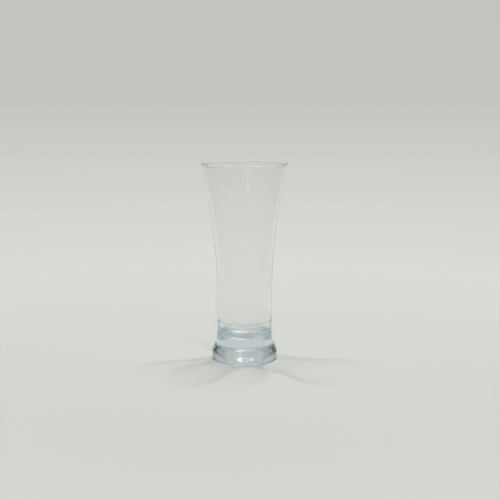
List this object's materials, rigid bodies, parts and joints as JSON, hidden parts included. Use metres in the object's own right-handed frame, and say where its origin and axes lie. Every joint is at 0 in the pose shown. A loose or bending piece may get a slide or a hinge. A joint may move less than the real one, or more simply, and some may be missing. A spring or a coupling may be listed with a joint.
{
  "type": "glass tumbler",
  "caption": "Tall clear drinking glass: straight waist, wall flaring late to a fire-polished rim, thick solid base on a rounded foot with a bulge over a narrow heel.",
  "frame": {"origin": "on the glass's axis, in the plane that its foot stands on", "axes": "+Z along the axis, up through the mouth; the glass is round, so +X and +Y may be turned about it at will"},
  "size_m": [0.0736, 0.0736, 0.17],
  "materials": {
    "clear_glass": "clear soda-lime glass, smooth and fire-polished, with a faint blue-green tint in the thick base"
  },
  "bodies": {
    "root": {"tumbler": "clear_glass"}
  },
  "joints": []
}
